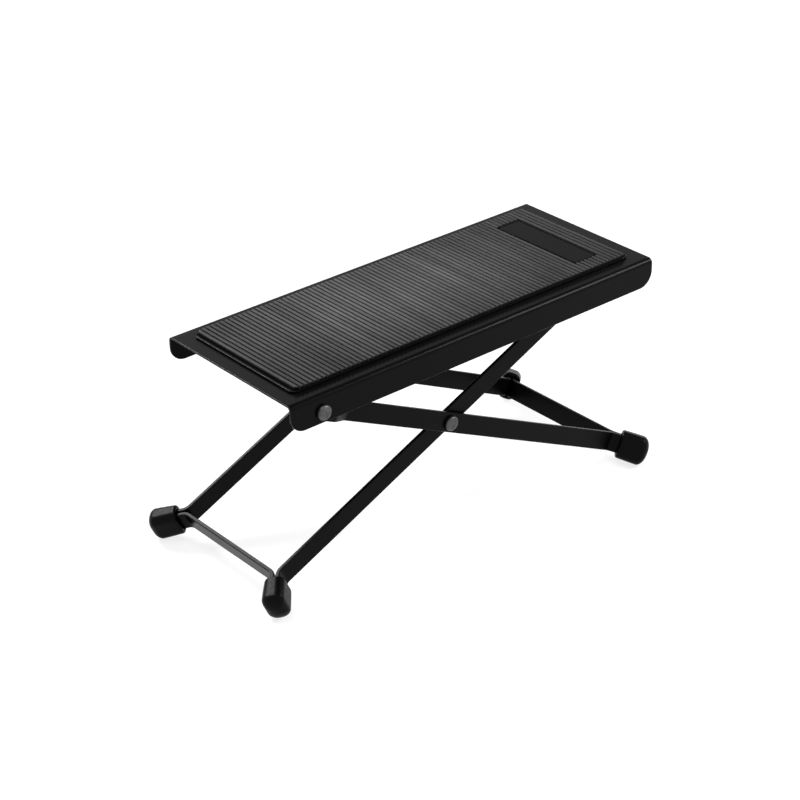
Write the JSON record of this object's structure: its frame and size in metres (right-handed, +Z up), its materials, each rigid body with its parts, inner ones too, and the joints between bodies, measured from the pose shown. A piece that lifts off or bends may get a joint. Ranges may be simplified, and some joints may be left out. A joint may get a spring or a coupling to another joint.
{
  "type": "folding guitar footrest",
  "caption": "Folding guitar footrest: a ribbed rubber pad on a tilted steel platform, carried by crossed strip-steel leg frames with rubber foot caps and a rod that locks in notches.",
  "frame": {"origin": "on the floor, below the scissor rivets and midway across", "axes": "+Z up, +X along the platform towards its higher rear end, +Y across towards the far side"},
  "size_m": [0.2922, 0.1302, 0.1383],
  "materials": {
    "platform_coat": "satin black powder coat on pressed steel sheet",
    "leg_coat": "satin black powder coat on bent steel strip",
    "rack_coat": "satin black powder coat on pressed steel",
    "rivet_steel": "dull grey plated steel, hammered smooth",
    "zinc_plate": "bright zinc plating",
    "pad_rubber": "matt black moulded rubber with fine cross ribs",
    "badge_plate": "plain glossy black plate with no marking",
    "cap_rubber": "satin black moulded rubber"
  },
  "bodies": {
    "platform": {"platform": "platform_coat", "ribbed_pad": "pad_rubber", "blank_badge": "badge_plate", "rod_rack_near": "rack_coat", "rod_rack_far": "rack_coat", "pivot_rivet_near": "rivet_steel", "pivot_rivet_far": "rivet_steel"},
    "rear_legs": {"rear_leg_frame": "leg_coat", "pivot_washer_near": "zinc_plate", "pivot_washer_far": "zinc_plate", "scissor_rivet_near": "rivet_steel", "scissor_rivet_far": "rivet_steel", "scissor_washer_near": "zinc_plate", "scissor_washer_far": "zinc_plate", "rear_foot_cap_near": "cap_rubber", "rear_foot_cap_far": "cap_rubber"},
    "front_legs": {"front_leg_frame": "leg_coat", "locking_rod": "zinc_plate", "front_foot_cap_near": "cap_rubber", "front_foot_cap_far": "cap_rubber"}
  },
  "joints": [
    {"name": "rear_legs_fold", "type": "hinge", "parent": "platform", "child": "rear_legs", "pos_m": [-0.09719, 0, 0.11625], "axis": [0, -1, 0], "range_deg": [0, 23]},
    {"name": "front_legs_fold", "type": "hinge", "parent": "rear_legs", "child": "front_legs", "pos_m": [0, 0, 0.07344], "axis": [0, 1, 0], "range_deg": [0, 49.7]}
  ],
  "couplings": [
    {"joint": "front_legs_fold", "follows": "rear_legs_fold", "ratio": 2.1609}
  ]
}
